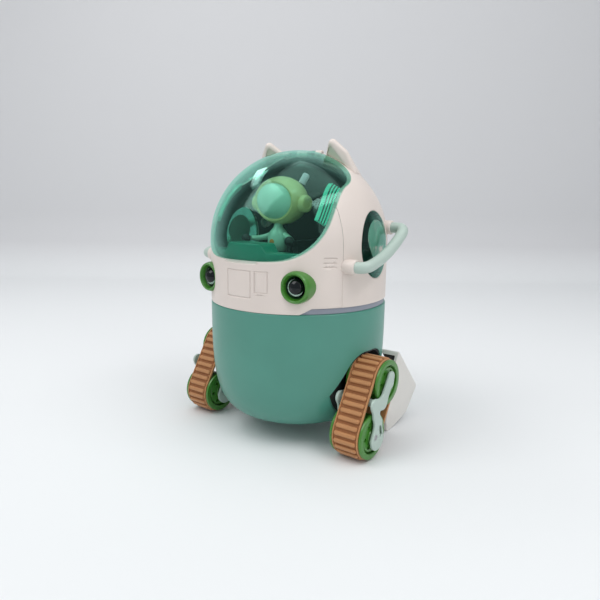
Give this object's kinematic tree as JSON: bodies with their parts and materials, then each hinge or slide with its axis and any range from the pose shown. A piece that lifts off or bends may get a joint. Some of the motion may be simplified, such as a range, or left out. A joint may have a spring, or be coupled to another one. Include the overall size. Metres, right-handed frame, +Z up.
{
  "type": "tracked robot car toy",
  "caption": "Round egg-shaped robot car with a clear opening canopy over a small pilot, ear tips, side grab handles, two slanted track units and two rear skid feet.",
  "frame": {"origin": "centre of the box that holds the whole robot, on the floor it stands on", "axes": "+Z up, the robot faces -Y, its left side is +X"},
  "size_m": [0.1252, 0.1, 0.1567],
  "materials": {
    "teal_plastic": "satin moulded plastic",
    "cream_plastic": "satin moulded plastic",
    "band_plastic": "satin moulded plastic",
    "clear_green_plastic": "clear tinted polycarbonate",
    "steel": "plain turned steel",
    "ear_lining": "matt",
    "leaf_green_plastic": "semi-gloss moulded plastic",
    "eye_lens": "polished dark lens",
    "mint_plastic": "satin moulded plastic",
    "belt_rubber": "matt tan rubber",
    "black_plastic": "matt black plastic",
    "dashboard_plastic": "semi-gloss green plastic",
    "grille_plastic": "semi-gloss turquoise plastic",
    "pilot_suit": "painted figure, mint",
    "pilot_helmet": "painted figure, yellow green",
    "motor_can": "zinc plated can",
    "battery_wrap": "shrink wrap",
    "circuit_board": "solder mask"
  },
  "bodies": {
    "body": {"lower_shell": "teal_plastic", "waist_band": "band_plastic", "front_fascia": "cream_plastic", "rear_shell": "cream_plastic", "canopy_hinge_pin": "steel", "side_window_left": "clear_green_plastic", "ear_left": "cream_plastic", "inner_ear_left": "ear_lining", "eye_bezel_left": "leaf_green_plastic", "eye_lens_left": "eye_lens", "handle_left": "mint_plastic", "track_belt_left": "belt_rubber", "lower_axle_left": "steel", "outer_track_plate_left": "mint_plastic", "inner_track_plate_left": "mint_plastic", "track_strut_left": "mint_plastic", "well_liner_left": "black_plastic", "rear_foot_left": "cream_plastic", "control_stick_left": "black_plastic", "wall_grille_left": "grille_plastic", "motor_bracket_left": "black_plastic", "gear_motor_left": "motor_can", "side_window_right": "clear_green_plastic", "ear_right": "cream_plastic", "inner_ear_right": "ear_lining", "eye_bezel_right": "leaf_green_plastic", "eye_lens_right": "eye_lens", "handle_right": "mint_plastic", "track_belt_right": "belt_rubber", "lower_axle_right": "steel", "outer_track_plate_right": "mint_plastic", "inner_track_plate_right": "mint_plastic", "track_strut_right": "mint_plastic", "well_liner_right": "black_plastic", "rear_foot_right": "cream_plastic", "control_stick_right": "black_plastic", "wall_grille_right": "grille_plastic", "motor_bracket_right": "black_plastic", "gear_motor_right": "motor_can", "cockpit_floor": "teal_plastic", "dashboard": "dashboard_plastic", "seat": "black_plastic", "pilot_torso": "pilot_suit", "chassis_deck": "black_plastic", "battery_pack": "battery_wrap", "control_board": "circuit_board", "battery_door": "teal_plastic", "battery_door_screws": "steel"},
    "canopy": {"canopy": "clear_green_plastic"},
    "pilot_head": {"pilot_helmet": "pilot_helmet", "pilot_visor": "pilot_suit"},
    "drive_wheel_left": {"upper_wheel_left": "leaf_green_plastic", "drive_shaft_left": "steel"},
    "idler_wheel_left": {"lower_wheel_left": "leaf_green_plastic"},
    "drive_wheel_right": {"upper_wheel_right": "leaf_green_plastic", "drive_shaft_right": "steel"},
    "idler_wheel_right": {"lower_wheel_right": "leaf_green_plastic"}
  },
  "joints": [
    {"name": "canopy_hinge", "type": "hinge", "parent": "body", "child": "canopy", "pos_m": [0, 0.0013, 0.15], "axis": [-1, 0, 0], "range_deg": [0, 40]},
    {"name": "pilot_head_turn", "type": "hinge", "parent": "body", "child": "pilot_head", "pos_m": [0, -0.0175, 0.1254], "axis": [0, 0, 1], "range_deg": [-40, 40]},
    {"name": "drive_wheel_left_spin", "type": "hinge", "parent": "body", "child": "drive_wheel_left", "pos_m": [0.0518, -0.0068, 0.0364], "axis": [1, 0, 0], "continuous": true},
    {"name": "idler_wheel_left_spin", "type": "hinge", "parent": "body", "child": "idler_wheel_left", "pos_m": [0.0518, -0.0207, 0.0125], "axis": [1, 0, 0], "continuous": true},
    {"name": "drive_wheel_right_spin", "type": "hinge", "parent": "body", "child": "drive_wheel_right", "pos_m": [-0.0518, -0.0068, 0.0364], "axis": [1, 0, 0], "continuous": true},
    {"name": "idler_wheel_right_spin", "type": "hinge", "parent": "body", "child": "idler_wheel_right", "pos_m": [-0.0518, -0.0207, 0.0125], "axis": [1, 0, 0], "continuous": true}
  ],
  "couplings": [
    {"joint": "idler_wheel_left_spin", "follows": "drive_wheel_left_spin", "ratio": 1},
    {"joint": "idler_wheel_right_spin", "follows": "drive_wheel_right_spin", "ratio": 1}
  ]
}
